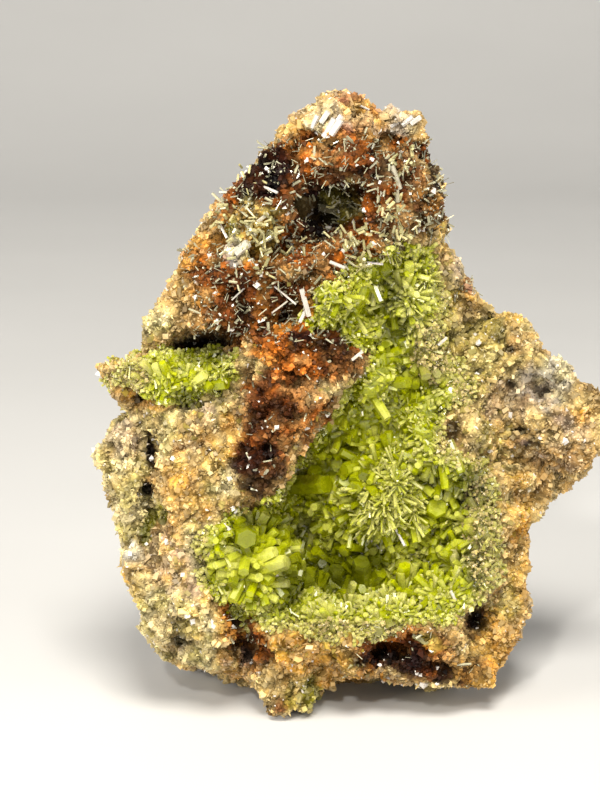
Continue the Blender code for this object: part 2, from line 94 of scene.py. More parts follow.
# Zones of colour, laid on in this order: (colour, other colour, strength, patchiness, blots). A blot is an
# ellipse, (across, down, half width, half height, turn in degrees), in pixels of the view.
ZONES = [
    (TAN, OLIVE, 0.85, 0.2, [(488, 326, 60, 40, 30), (462, 350, 30, 40, 0), (500, 470, 24, 60, 0)]),
    (TAN, BEIGE, 0.75, 0.3, [(520, 350, 95, 80, 25), (520, 520, 30, 90, 0), (170, 560, 40, 60, 0)]),
    (GOLD, BEIGE, 0.75, 0.4, [
        (350, 118, 85, 34, 0), (440, 195, 20, 62, 0), (226, 470, 30, 40, 15), (104, 374, 20, 18, 0),
        (583, 412, 18, 14, 0), (516, 520, 14, 70, 8), (514, 322, 26, 12, 20), (500, 300, 40, 16, 30),
        (250, 590, 40, 30, 0), (290, 665, 46, 26, 0), (185, 600, 30, 50, 0), (128, 600, 20, 50, 0),
    ]),
    (CREAM, YELLOW_GREEN, 0.75, 0.3, [
        (120, 455, 30, 44, 0), (150, 325, 20, 20, 0), (160, 620, 46, 36, 20), (130, 520, 20, 50, 0),
        (205, 550, 18, 40, 0), (190, 650, 50, 16, 0), (220, 455, 26, 52, 10), (190, 430, 36, 34, 0),
    ]),
    (OCHRE, GOLD, 0.8, 0.5, [
        (300, 140, 60, 20, -20), (235, 262, 64, 44, -30), (290, 320, 70, 40, 0), (232, 440, 20, 34, 10),
        (480, 668, 34, 24, 0), (518, 560, 14, 70, 5), (498, 640, 22, 30, 0), (583, 412, 10, 8, 0),
        (240, 640, 26, 40, 0), (455, 285, 26, 20, 0), (160, 400, 30, 16, 0), (380, 118, 46, 22, 0),
        (190, 480, 24, 60, 10), (330, 660, 70, 24, 0),
    ]),
    (RUST, RED_BROWN, 0.95, 0.35, [
        (350, 98, 22, 8, 0), (386, 114, 14, 8, 0), (318, 162, 70, 30, -8), (276, 200, 62, 46, 0),
        (330, 240, 60, 40, 0), (240, 270, 56, 46, -30), (290, 320, 66, 40, 0), (325, 352, 58, 26, 0),
        (288, 400, 42, 44, -25), (262, 450, 26, 36, 15), (402, 650, 52, 26, 0), (236, 620, 16, 32, -10),
        (255, 652, 16, 22, 0), (410, 150, 26, 20, 0), (395, 205, 40, 30, 0), (462, 284, 12, 10, 0),
    ]),
    # Partly the gossan's own red brown, partly painted shade in the recess under the head's lower edge.
    (RED_BROWN, DARK_BROWN, 0.9, 0.4, [
        (268, 178, 30, 36, 20), (325, 205, 42, 40, 0), (384, 176, 40, 26, 0), (250, 300, 44, 36, -20),
        (330, 350, 36, 15, 0), (272, 410, 18, 22, -25), (256, 445, 20, 34, 10), (400, 660, 34, 14, 0),
        (208, 342, 34, 12, 0), (284, 704, 16, 12, 0), (455, 672, 28, 12, 0), (428, 208, 16, 24, 0),
        (244, 640, 10, 28, -10), (478, 624, 16, 16, 0), (425, 415, 16, 10, 0),
    ]),
    # Partly the gossan's own near-black, partly painted shade in the hollow of the head and the recess under
    # its lower edge.
    (PURPLE_BLACK, DARK_BROWN, 0.95, 0.12, [
        (266, 172, 20, 26, 20), (326, 212, 26, 28, 0), (262, 474, 23, 26, -15), (216, 344, 22, 6, 0),
        (396, 662, 26, 10, 0), (476, 620, 12, 10, 0), (528, 438, 16, 5, 35), (150, 452, 5, 20, 0),
        (146, 490, 6, 10, 0), (436, 180, 8, 12, 0), (440, 672, 12, 8, 0), (300, 340, 12, 10, 0),
    ]),
    (WHITE, CREAM, 0.9, 0.3, [
        (326, 125, 20, 15, 0), (404, 121, 20, 9, 0), (240, 250, 9, 9, 0), (545, 380, 28, 24, 20),
        (130, 556, 12, 12, 0), (560, 362, 20, 16, 0), (452, 268, 14, 14, 0),
    ]),
    (PINK_GREY, TAN, 0.6, 0.45, [
        (178, 640, 16, 12, 0), (120, 440, 20, 14, 0), (200, 430, 26, 18, 0), (165, 560, 26, 30, 0),
        (455, 270, 24, 24, 0), (520, 400, 40, 24, 0), (350, 112, 74, 26, 0), (560, 440, 40, 30, 0),
        (185, 590, 20, 20, 0), (240, 665, 20, 14, 0),
    ]),
    (DEEP_GREEN, OLIVE, 0.95, 0.0, [(154, 528, 9, 27, 0), (236, 236, 10, 8, 0), (313, 698, 9, 18, 10)]),
    (OLIVE, YELLOW_GREEN, 0.6, 0.3, [
        (258, 230, 24, 28, 0), (460, 382, 26, 24, 0), (305, 698, 16, 22, 0), (345, 205, 22, 18, 0),
        (430, 640, 14, 10, 0), (505, 600, 10, 30, 0), (480, 350, 30, 30, 20), (445, 320, 16, 50, 0),
    ]),
]

# The zones of gossan: rust, red brown and nearly black.
GOSSAN_ZONES = ZONES[5:8]

# Holes in the rock, also painted dark as shade: (across, down, half width, half height, depth in
# millimetres).
HOLES = [
    (322, 222, 17, 18, 3.0), (308, 204, 14, 10, 2.0), (312, 236, 12, 9, 1.8), (345, 190, 22, 9, 1.2),
    (377, 176, 7, 5, 1.2), (272, 184, 8, 14, 1.8), (266, 164, 10, 6, 1.2), (243, 193, 8, 6, 1.2),
    (364, 170, 8, 6, 1.4), (293, 309, 13, 10, 1.6), (241, 313, 6, 7, 1.0), (320, 345, 10, 6, 1.2),
    (208, 342, 28, 9, 1.4), (150, 452, 5, 18, 1.2), (146, 490, 6, 9, 1.4), (236, 612, 6, 20, 1.2),
    (250, 648, 6, 18, 1.4), (392, 656, 18, 6, 1.5), (440, 668, 12, 6, 1.3), (478, 622, 10, 9, 1.3),
    (360, 664, 10, 6, 1.0), (520, 431, 9, 4, 1.0), (534, 444, 9, 4, 1.0), (510, 350, 6, 4, 0.9),
    (510, 384, 6, 4, 0.8), (452, 432, 7, 12, 1.2), (486, 318, 4, 3, 0.8), (500, 340, 5, 3, 0.8),
    (470, 330, 3, 3, 0.8), (548, 392, 5, 4, 0.8), (562, 382, 4, 4, 0.8), (478, 372, 5, 4, 0.9),
    (436, 297, 3, 3, 0.7), (468, 490, 10, 12, 1.4), (180, 640, 8, 7, 0.8), (190, 404, 16, 7, 1.2),
    (140, 398, 8, 5, 0.8),
]

# Deep places of the pocket, painted dark as shade.
PAINTED_SHADE_RECESSES = [
    (292, 578, 14, 26, 10), (335, 572, 24, 22, 0), (470, 488, 18, 24, 30), (226, 512, 14, 5, 0),
    (474, 566, 12, 24, 0), (430, 480, 16, 10, 0), (300, 528, 20, 12, 0), (395, 330, 14, 12, 0),
    (208, 352, 34, 12, 0), (372, 560, 16, 20, 0), (190, 398, 24, 7, 0), (388, 288, 16, 22, 0),
    (255, 520, 18, 8, 0),
]

# Where the greens fade into the beige of the rock.
FADES = [
    (488, 520, 22, 90, 0), (470, 405, 18, 60, 0), (345, 636, 140, 16, 0), (198, 560, 10, 50, 0),
    (126, 374, 26, 22, 0), (455, 440, 20, 24, 0), (436, 350, 24, 34, 0), (446, 285, 9, 40, 0),
]

# Large prisms of the pocket and the ledge: (across, down) of the foot in pixels of the view, how far it leans
# right, forward and up, then its length and radius in millimetres and how pale it is.
# A paleness above 1 makes a prism nearly white: partly a pale crystal, partly a painted glint.
POCKET_LARGE = [
    (250, 572, 0.8, 0.5, 0.4, 4.8, 1.0, 0.8), (242, 567, 0.75, 0.4, 0.5, 4.4, 0.9, 0.8),
    (207, 551, 0.9, 0.4, 0.0, 3.8, 0.7, 0.7), (248, 556, 0.0, 0.4, 0.9, 3.4, 0.6, 0.7),
    (308, 556, 0.1, 0.5, 0.85, 4.2, 0.6, 1.2), (258, 584, 0.9, 0.4, 0.15, 3.2, 0.6, 0.9),
    (260, 505, 0.4, 0.5, -0.7, 2.8, 0.6, 0.9), (240, 525, 0.1, 1.0, 0.1, 4.0, 1.5, 0.1),
    (280, 532, 0.0, 1.0, 0.2, 3.5, 1.5, 0.1), (305, 596, 0.05, 0.5, 0.85, 3.4, 1.3, 0.1),
    (338, 590, -0.05, 0.5, 0.85, 3.0, 1.2, 0.0), (346, 604, 0.2, 0.5, 0.8, 3.2, 0.6, 0.9),
    (294, 485, 0.7, 0.6, 0.2, 4.5, 1.5, 0.2), (370, 391, 0.5, 0.5, -0.7, 3.2, 0.6, 0.8),
    (404, 456, 0.9, 0.5, 0.0, 3.0, 0.6, 0.7), (403, 470, 0.9, 0.5, 0.0, 3.0, 0.6, 0.7),
    (441, 449, 0.1, 0.4, -0.9, 4.0, 0.6, 0.5), (452, 446, 0.3, 0.4, -0.8, 2.6, 0.6, 0.5),
    (459, 575, -0.2, 0.5, 0.8, 3.6, 0.6, 1.2), (396, 561, 0.1, 1.0, 0.2, 3.0, 1.0, 0.8),
    (361, 590, 0.0, 0.5, 0.85, 4.5, 1.3, 0.1), (410, 535, 0.9, 0.5, -0.1, 3.0, 0.7, 0.4),
    (380, 283, 0.55, 0.5, -0.6, 3.4, 0.6, 0.9), (408, 292, 0.0, 0.5, 0.85, 3.8, 0.6, 0.7),
    (348, 320, 0.0, 0.5, 0.85, 2.8, 0.4, 1.1), (360, 314, 0.1, 0.5, 0.85, 3.0, 0.45, 1.0),
    (400, 592, 0.1, 0.4, 0.9, 3.6, 1.0, 0.45), (315, 497, 0.0, 0.5, 0.85, 4.2, 1.0, 0.25),
    (432, 512, 0.1, 0.8, 0.4, 3.0, 1.4, 0.35), (346, 485, 0.0, 0.8, 0.4, 2.8, 1.2, 0.3),
    (328, 430, 0.3, 0.5, 0.8, 2.6, 0.6, 0.8), (340, 430, 0.1, 0.5, 0.85, 2.4, 0.6, 0.7),
]
LEDGE_LARGE = [
    (166, 388, -0.3, 0.5, 0.85, 3.2, 0.5, 0.9), (172, 388, -0.25, 0.5, 0.9, 3.4, 0.5, 0.5),
    (181, 390, 0.65, 0.5, 0.55, 3.6, 0.8, 0.9), (196, 384, 0.9, 0.5, 0.15, 3.4, 0.9, 0.2),
    (158, 376, -0.5, 0.5, 0.6, 2.2, 0.5, 0.8), (150, 382, -0.6, 0.5, 0.4, 2.0, 0.4, 0.7),
    (222, 388, 0.1, 0.5, 0.9, 3.2, 0.3, 1.1), (212, 372, -0.4, 0.5, 0.2, 2.2, 0.2, 1.2),
]

# Beds of smaller crystals, the first that holds a place counts: (blot, radii, lengths, how pale, share kept).
BEDS = [
    ((380, 268, 15, 15, 0), (0.5, 0.9), (0.5, 1.0), 0.05, 0.2),
    ((368, 303, 15, 19, 0), (0.5, 0.9), (0.5, 1.0), 0.05, 0.2),
    ((394, 331, 13, 15, 0), (0.5, 0.9), (0.5, 1.0), 0.05, 0.3),
    ((330, 472, 22, 16, 0), (0.6, 1.1), (0.8, 1.4), 0.15, 0.4),
    ((372, 424, 24, 14, 0), (0.6, 1.1), (0.8, 1.4), 0.2, 0.4),
    ((190, 374, 40, 26, 0), (0.35, 0.8), (0.8, 1.8), 0.4, 0.8),
    ((125, 368, 36, 22, 0), (0.12, 0.3), (0.2, 0.7), 0.9, 1.0),
    ((345, 618, 150, 26, 0), (0.22, 0.48), (0.7, 1.7), 0.9, 1.0),
    ((388, 500, 30, 34, 0), (0.11, 0.24), (2.0, 3.6), 1.0, 1.0),
    ((245, 548, 46, 34, 0), (0.4, 0.8), (1.8, 3.2), 0.5, 1.0),
    ((388, 280, 62, 62, 0), (0.22, 0.5), (1.4, 3.0), 0.8, 0.85),
    ((392, 388, 56, 48, 0), (0.4, 0.9), (1.2, 2.4), 0.3, 0.5),
    ((330, 450, 44, 40, 40), (0.5, 1.0), (1.4, 2.6), 0.25, 0.6),
    ((325, 565, 60, 26, 0), (0.5, 1.0), (1.6, 3.2), 0.1, 0.8),
    ((455, 530, 44, 70, 0), (0.26, 0.65), (1.4, 3.0), 0.55, 1.0),
]
OTHER_BED = ((0, 0, 1, 1, 0), (0.26, 0.6), (1.2, 2.6), 0.6, 1.0)

# Pale clusters on the head: their middle in pixels, how many crystals and how long in millimetres. Then
# single crystals there and in the pocket: foot and tip in pixels, radius in millimetres, and how green.
HEAD_CLUSTERS = [
    (262, 228, 40, 1.6), (240, 245, 22, 1.4), (345, 205, 26, 1.3), (388, 205, 26, 1.2),
    (410, 225, 26, 1.3), (300, 255, 18, 1.3), (350, 262, 30, 1.5), (325, 300, 34, 1.5),
    (225, 215, 20, 1.2), (395, 232, 30, 1.4), (405, 160, 18, 1.2), (250, 178, 12, 1.0),
    (340, 240, 20, 1.3), (270, 262, 18, 1.3), (368, 238, 24, 1.3),
]
HEAD_SINGLES = [
    (317, 134, 327, 120, 0.4, 0.0), (324, 137, 334, 121, 0.45, 0.0), (331, 135, 340, 122, 0.4, 0.0),
    (321, 123, 328, 113, 0.35, 0.0), (312, 128, 317, 117, 0.3, 0.0), (334, 126, 341, 117, 0.3, 0.0),
    (391, 127, 402, 120, 0.35, 0.0), (402, 125, 412, 118, 0.35, 0.0), (411, 124, 420, 118, 0.3, 0.0),
    (293, 246, 283, 229, 0.28, 0.1), (293, 246, 299, 233, 0.25, 0.1), (236, 253, 248, 244, 0.55, 0.2),
    (320, 207, 348, 215, 0.5, 0.6), (400, 189, 392, 168, 0.32, 0.4), (398, 202, 396, 184, 0.28, 0.5),
    (274, 286, 295, 304, 0.12, 0.1), (309, 316, 302, 291, 0.3, 0.1), (311, 300, 300, 322, 0.2, 0.1),
    (272, 313, 287, 302, 0.1, 0.2), (369, 110, 347, 101, 0.15, 0.0), (220, 225, 227, 238, 0.18, 0.1),
    (264, 187, 277, 193, 0.16, 0.0), (304, 219, 313, 213, 0.13, 0.0), (298, 256, 284, 262, 0.14, 0.0),
    (252, 258, 262, 274, 0.14, 0.1), (232, 300, 244, 289, 0.12, 0.1), (418, 232, 426, 222, 0.2, 0.2),
    (414, 634, 438, 648, 0.6, 0.9), (345, 186, 334, 180, 0.2, 0.1), (268, 214, 258, 222, 0.22, 0.4),
    (246, 226, 256, 236, 0.25, 0.5), (258, 244, 272, 238, 0.22, 0.5), (330, 262, 344, 268, 0.2, 0.1),
    (356, 252, 350, 238, 0.2, 0.3),
]
# The white crystals of the pocket are partly real thin prisms, partly painted glints where light shines off
# the crystals.
POCKET_SINGLES_AND_GLINTS = [
    (398, 256, 394, 240, 0.25, 0.1), (427, 284, 425, 266, 0.14, 0.0), (367, 263, 382, 265, 0.16, 0.1),
    (394, 271, 405, 273, 0.2, 0.2), (326, 438, 322, 427, 0.35, 0.1), (327, 540, 339, 532, 0.16, 0.1),
    (328, 550, 337, 540, 0.14, 0.1), (358, 540, 362, 553, 0.18, 0.0), (366, 536, 382, 550, 0.14, 0.1),
    (392, 522, 404, 545, 0.2, 0.0), (466, 541, 478, 551, 0.18, 0.0), (261, 577, 278, 573, 0.3, 0.2),
    (264, 583, 278, 584, 0.25, 0.1), (438, 345, 446, 338, 0.2, 0.2), (418, 325, 420, 312, 0.2, 0.3),
    (396, 324, 398, 309, 0.35, 0.4), (236, 512, 232, 506, 0.3, 0.0), (440, 596, 448, 606, 0.16, 0.0),
    (352, 360, 362, 352, 0.2, 0.2), (455, 600, 450, 590, 0.2, 0.2), (224, 524, 230, 530, 0.3, 0.2),
]

# Sprays of fine needles: their middle in pixels, how many and how long in millimetres.
POCKET_SPRAYS = [
    (384, 507, 50, 3.4), (398, 482, 40, 2.4), (371, 522, 24, 2.6), (412, 508, 26, 2.6),
    (392, 252, 24, 2.2), (362, 298, 24, 2.2), (410, 304, 30, 2.4), (426, 280, 16, 2.0),
    (452, 520, 26, 2.4), (470, 560, 20, 2.0),
]
LEDGE_SPRAYS = [(222, 372, 18, 2.2), (130, 366, 14, 1.6)]

# The rock: the grid of its fine mesh, its lumps from large to small, its pits, and how far its rim may be
# moved in and out to meet the outline.
ROCK_VOXEL = 0.46
BLOCK_SIZE = 5.5
LUMP_SIZE = 2.6
CHIP_SIZE = 1.25
PIT_SIZE = 3.3
PIT_DEPTH = 1.4
RIM_IN = 3.0
RIM_OUT = 2.5

# The crusts: how far their skin lies over the rock and reaches into it, and how many prisms share a foot.
SKIN_LIFT = 1.2
SKIN_DEPTH = 0.9
GROUP = 7

# How many places are tried on the rock for grains and needles, then how many of each kind it gets at most.
TRIED_PLACES = 84000
GOSSAN_GRAINS = 20000
RIM_CRYSTALS = 9000
NEEDLES = 3000
# The rows of the view where the needles are dense.
HEAD_ROWS = (138, 345)

# Lights, in metres and watts: (name, place, power, size). They face one place in the specimen.
LIGHTS = [
    ("top front", (0.02, -0.35, 0.55), 5.2, 0.2),
    ("left", (-0.5, -0.25, 0.25), 2.9, 0.3),
    ("right", (0.45, -0.3, 0.2), 1.15, 0.2),
    ("low front", (0.05, -0.5, 0.04), 0.6, 0.3),
    ("spark", (-0.12, -0.5, 0.4), 1.6, 0.04),
]
LIGHT_TARGET = (0, 0, 0.04)
LIGHT_COLOUR = (1.0, 0.955, 0.87)
SURROUND = 0.13

# The stage, in metres: half its width, where its floor bends up, the radius of the bend, and its top.
STAGE_HALF = 1.5
STAGE_BACK = 0.35
STAGE_BEND = 0.25
STAGE_TOP = 1.4
BEND_STEPS = 12

rng = np.random.default_rng(20)


def linear(colour):
    """An sRGB colour from 0 to 255 as linear light from 0 to 1."""
    share = np.array(colour, float) / 255
    return np.where(share <= 0.04045, share / 12.92, ((share + 0.055) / 1.055) ** 2.4)


def smooth(share):
    """A share from 0 to 1 with a soft start and end."""
    share = np.clip(share, 0, 1)
    return share * share * (3 - 2 * share)


def lattice(corners, seed):
    """A number from 0 to 1 for each corner of a grid."""
    mixed = (corners * np.array([374761393, 668265263, 1440670441])).sum(-1) + seed * 974634777
    mixed = (mixed ^ (mixed >> 13)) * 1274126177 & 0xFFFFFFFF
    mixed = (mixed ^ (mixed >> 16)) * 2246822519 & 0xFFFFFFFF
    return ((mixed >> 8) & 0xFFFF) / 0xFFFF


def noise(points, size, seed=0):
    """Smooth noise from -1 to 1 with waves of about this size."""
    place = points / size
    cell = np.floor(place).astype(np.int64)
    share = smooth(place - cell)
    total = np.zeros(len(points))
    for corner in range(8):
        step = np.array([corner & 1, corner >> 1 & 1, corner >> 2 & 1])
        weight = np.where(step == 1, share, 1 - share).prod(-1)
        total += weight * lattice(cell + step, seed)
    return 2 * total - 1


def fractal(points, size, octaves, seed=0):
    """Noise of several sizes, each half as large and half as strong as the one before."""
    total = np.zeros(len(points))
    for octave in range(octaves):
        total += noise(points, size / 2**octave, seed + octave) / 2**octave
    return total


def cells(points, size, seed=0):
    """How far each point is from the nearest of scattered seeds, and how much nearer than the next one."""
    place = points / size
    home = np.floor(place).astype(np.int64)
    first = np.full(len(points), 9.0)
    second = np.full(len(points), 9.0)
    for step in np.ndindex(3, 3, 3):
        cell = home + np.array(step) - 1
        middle = cell + np.stack([lattice(cell, seed + axis) for axis in range(3)], axis=1)
        away = np.abs(place - middle).sum(1) * 0.7
        second = np.minimum(second, np.maximum(first, away))
        first = np.minimum(first, away)
    return first, second - first


def camera_axes():
    """The camera's right, up and back, as rows."""
    sine, cosine = math.sin(CAMERA_RISE), math.cos(CAMERA_RISE)
    return np.array([[1, 0, 0], [0, sine, cosine], [0, -cosine, sine]])


AXES = camera_axes()
RIGHT, UP, TOWARDS = AXES
EYE = AIM + TOWARDS * CAMERA_DISTANCE


def pixels(points):
    """Where the camera sees each place, in pixels of the view."""
    view = (points - AIM) @ AXES.T
    scale = PIXELS_PER_MM * CAMERA_DISTANCE / (CAMERA_DISTANCE - view[:, 2])
    return np.stack([VIEW[0] / 2 + view[:, 0] * scale, VIEW[1] / 2 - view[:, 1] * scale], axis=1)


def inside_ring(points, ring):
    """How far each point lies inside a closed ring, negative outside it."""
    starts = np.array(ring, float)
    ends = np.roll(starts, -1, axis=0)
    along = ends - starts
    offset = points[:, None] - starts
    share = np.clip((offset * along).sum(2) / (along**2).sum(1), 0, 1)
    nearest = np.linalg.norm(offset - share[..., None] * along, axis=2).min(1)
    above = (starts[:, 1] > points[:, None, 1]) != (ends[:, 1] > points[:, None, 1])
    rise = np.where(along[:, 1] == 0, 1, along[:, 1])
    crossing = starts[:, 0] + (points[:, None, 1] - starts[:, 1]) * along[:, 0] / rise
    odd = (above & (points[:, None, 0] < crossing)).sum(1) % 2 == 1
    return np.where(odd, nearest, -nearest)


def warped(points):
    """The pixels of places, strayed a little so that the edges of zones are ragged."""
    stray = [12 * noise(points, 3.5, seed) + 6 * noise(points, 1.2, seed + 1) for seed in (31, 47)]
    return pixels(points) + np.stack(stray, axis=1)


def blot_reach(at, blot):
    """How far each pixel is from the middle of a blot, where 1 is the way to its edge."""
    across, down, half_x, half_y, turn = blot
    angle = math.radians(turn)
    x, y = at[:, 0] - across, at[:, 1] - down
    u = (x * math.cos(angle) + y * math.sin(angle)) / half_x
    v = (-x * math.sin(angle) + y * math.cos(angle)) / half_y
    return np.hypot(u, v)


def blot_cover(at, blots):
    """How far each pixel lies in the blots, from 0 to 1, with soft edges."""
    cover = np.zeros(len(at))
    for blot in blots:
        cover = np.maximum(cover, smooth((1.25 - blot_reach(at, blot)) / 0.5))
    return cover


def solid_tree():
    """The solid rock, for rays in millimetres."""
    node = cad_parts["matrix"].data
    places = [vertex.co / MM for vertex in node.vertices]
    return BVHTree.FromPolygons(places, [tuple(polygon.vertices) for polygon in node.polygons])


SOLID = solid_tree()


def seen(points):
    """1 for places that the camera sees past the solid rock, 0 for those well behind its front."""
    offset = points - EYE
    reach = np.linalg.norm(offset, axis=1)
    start = Vector(EYE)
    hits = [SOLID.ray_cast(start, Vector(way))[3] for way in offset / reach[:, None]]
    first = np.array([distance if distance else 1e6 for distance in hits])
    return smooth((5.5 - (reach - first)) / 3)


def green_cover(points):
    """How far each place belongs to the pocket's or the ledge's green, from 0 to 1."""
    at = warped(points)
    reach = np.maximum(inside_ring(at, POCKET), inside_ring(at, LEDGE))
    return smooth((reach + 12) / 18)


def rock_colour(points):
    """The rock's colour at each place, linear."""
    at = warped(points)
    front = seen(points)[:, None]
    mix = smooth(0.5 + 0.8 * noise(points, 4.0, 3))[:, None]
    colour = linear(BEIGE) * mix + linear(TAN) * (1 - mix)
    stained = 0.6 * smooth(1.2 * fractal(points, 8.0, 2, 9))[:, None]
    back = (linear(TAN) * mix + linear(BEIGE) * (1 - mix)) * (1 - stained) + linear(OCHRE) * stained
    rusty = smooth(1.6 * fractal(points, 14.0, 3, 5) - 0.1)[:, None]
    back = back * (1 - rusty) + linear(RED_BROWN) * rusty
    for number, (first, second, strength, patchy, blots) in enumerate(ZONES):
        cover = blot_cover(at, blots)
        patches = smooth((fractal(points, 2.2, 3, 60 + number) + 0.75 - 1.3 * patchy) / 0.5)
        cover = (strength * cover * (1 - patchy + patchy * patches))[:, None]
        blend = smooth(0.5 + 0.9 * noise(points, 1.8, 80 + number))[:, None]
        colour = colour * (1 - cover) + (linear(first) * blend + linear(second) * (1 - blend)) * cover
    # Painted shade: the holes are made darker.
    hole_shade = blot_cover(pixels(points), [(*blot[:4], 0) for blot in HOLES])[:, None]
    colour = colour * (1 - 0.8 * hole_shade)
    green = green_cover(points)[:, None]
    blend = smooth(0.5 + noise(points, 2.0, 7))[:, None]
    greens = linear(DEEP_GREEN) * blend + linear(LIME) * (1 - blend)
    colour = colour * (1 - 0.9 * green) + greens * 0.9 * green
    return back * (1 - front) + colour * front


def make_object(name, points, faces, colours, material):
    """A flat-shaded mesh, its places in millimetres, with its colours in the attribute "tint"."""
    mesh = bpy.data.meshes.new(name)
    mesh.vertices.add(len(points))
    mesh.vertices.foreach_set("co", (points * MM).astype(np.float32).ravel())
    mesh.loops.add(faces.size)
    mesh.loops.foreach_set("vertex_index", faces.astype(np.int32).ravel())
    mesh.polygons.add(len(faces))
    mesh.polygons.foreach_set("loop_start", np.arange(0, faces.size, faces.shape[1], dtype=np.int32))
    mesh.update(calc_edges=True)
    mesh.polygons.foreach_set("use_smooth", np.zeros(len(faces), bool))
    tint = mesh.attributes.new("tint", "FLOAT_COLOR", "POINT")
    opaque = np.column_stack([colours, np.ones(len(colours))])
    tint.data.foreach_set("color", opaque.astype(np.float32).ravel())
    mesh.validate()
    mesh.materials.append(material)
    obj = bpy.data.objects.new(name, mesh)
    bpy.context.scene.collection.objects.link(obj)
    return obj


def mesh_arrays(mesh):
    """Places in millimetres and triangles of a mesh."""
    places = np.empty(len(mesh.vertices) * 3, np.float32)
    mesh.vertices.foreach_get("co", places)
    mesh.calc_loop_triangles()
    triangles = np.empty(len(mesh.loop_triangles) * 3, np.int32)
    mesh.loop_triangles.foreach_get("vertices", triangles)
    return places.reshape(-1, 3).astype(float) / MM, triangles.reshape(-1, 3)


def face_normals(points, faces):
    """The normal and the area of each triangle."""
    cross = np.cross(points[faces[:, 1]] - points[faces[:, 0]], points[faces[:, 2]] - points[faces[:, 0]])
    area = np.linalg.norm(cross, axis=1)
    return cross / np.maximum(area, 1e-12)[:, None], area / 2


def vertex_normals(points, faces):
    """The normal at each point, the mean of its triangles by area."""
    normals, areas = face_normals(points, faces)
    total = np.zeros_like(points)
    for corner in range(faces.shape[1]):
        np.add.at(total, faces[:, corner], normals * areas[:, None])
    return total / np.maximum(np.linalg.norm(total, axis=1), 1e-12)[:, None]


def scatter(points, faces, count, weight=None):
    """Random places on a surface, their normals and triangles. A weight makes some triangles more likely."""
    normals, areas = face_normals(points, faces)
    share = areas if weight is None else areas * weight
    pick = rng.choice(len(faces), count, p=share / share.sum())
    first, second = rng.random((2, count))
    flip = first + second > 1
    first[flip], second[flip] = 1 - first[flip], 1 - second[flip]
    start, left, right = (points[faces[pick, corner]] for corner in range(3))
    at = start + (left - start) * first[:, None] + (right - start) * second[:, None]
    return at, normals[pick], pick


def spaced(points, room):
    """Which of the points to keep so that no two are nearer than about room, first come first kept."""
    taken = {}
    keep = []
    for index, cell in enumerate(map(tuple, np.floor(points / room).astype(int))):
        near = (
            taken.get((cell[0] + i, cell[1] + j, cell[2] + k))
            for i in (-1, 0, 1) for j in (-1, 0, 1) for k in (-1, 0, 1)
        )
        if all(other is None or np.sum((points[index] - points[other]) ** 2) > room**2 for other in near):
            taken[cell] = index
            keep.append(index)
    return np.array(keep, int)


def unit(ways):
    """The ways, each with a length of 1."""
    return ways / np.linalg.norm(ways, axis=1)[:, None]


def random_ways(count):
    """Ways that point anywhere, with a length of 1."""
    return unit(rng.normal(size=(count, 3)))


def prism_form(rings):
    """A six-sided prism along Z with six corners at each (height, radius): its points and triangles."""
    turns = [math.tau * k / 6 for k in range(6)]
    points = [
        (radius * math.cos(turn), radius * math.sin(turn), height)
        for height, radius in rings for turn in turns
    ]
    last = 6 * len(rings) - 6
    faces = []
    for ring in range(0, last, 6):
        for k in range(6):
            near, after = ring + k, ring + (k + 1) % 6
            faces += [(near, after, after + 6), (near, after + 6, near + 6)]
    for k in range(1, 5):
        faces += [(0, k + 1, k), (last, last + k, last + k + 1)]
    return np.array(points, float), np.array(faces)


def block_form(foot):
    """A four-sided block that reaches from this height up 1 along Z."""
    square = [(0.8, 0.8), (-0.8, 0.8), (-0.8, -0.8), (0.8, -0.8)]
    points = [(x, y, foot + rise) for rise in (0, 1) for x, y in square]
    faces = [(0, 2, 1), (0, 3, 2), (4, 5, 6), (4, 6, 7)]
    for k in range(4):
        after = (k + 1) % 4
        faces += [(k, after, 4 + after), (k, 4 + after, 4 + k)]
    return np.array(points, float), np.array(faces)


def grain_form():
    """An eight-sided grain of radius 1."""
    points = np.array([(1, 0, 0), (-1, 0, 0), (0, 1, 0), (0, -1, 0), (0, 0, 1), (0, 0, -1)], float)
    faces = [(0, 2, 4), (2, 1, 4), (1, 3, 4), (3, 0, 4), (2, 0, 5), (1, 2, 5), (3, 1, 5), (0, 3, 5)]
    return points, np.array(faces)


def grown(form, feet, ways, widths, lengths, jitter=0.0):
    """Copies of a form, each with its foot, way, half width and length, joined as arrays."""
    points, faces = form
    side = unit(np.cross(ways, random_ways(len(ways))))
    other = np.cross(ways, side)
    shape = np.broadcast_to(points, (len(feet), *points.shape)).copy()
    if jitter:
        shape += rng.uniform(-jitter, jitter, shape.shape)
    placed = (
        feet[:, None]
        + shape[..., 0:1] * (side * widths[:, None])[:, None]
        + shape[..., 1:2] * (other * widths[:, None] * rng.uniform(0.8, 1.15, (len(feet), 1)))[:, None]
        + shape[..., 2:3] * (ways * lengths[:, None])[:, None]
    )
    joined = faces[None] + (np.arange(len(feet)) * len(points))[:, None, None]
    return placed.reshape(-1, 3), joined.reshape(-1, 3)


def spread(values, form):
    """One value for each copy, repeated for its points."""
    return np.repeat(values, len(form[0]), axis=0)


def join(parts):
    """Several (points, faces, colours) as one."""
    starts = np.cumsum([0] + [len(points) for points, _, _ in parts])
    points = np.concatenate([part[0] for part in parts])
    faces = np.concatenate([part[1] + start for part, start in zip(parts, starts)])
    return points, faces, np.concatenate([part[2] for part in parts])


# Materials

BUMP_SIZE = 0.3


def new_material(name):
    """A material with its nodes and links."""
    material = bpy.data.materials.new(name)
    material.use_nodes = True
    return material, material.node_tree.nodes, material.node_tree.links


def noise_texture(nodes, links, where, size, detail):
    """Noise of this size in millimetres."""
    texture = nodes.new("ShaderNodeTexNoise")
    texture.inputs["Scale"].default_value = 1 / (size * MM)
    texture.inputs["Detail"].default_value = detail
    links.new(where, texture.inputs["Vector"])
    return texture.outputs["Fac"]


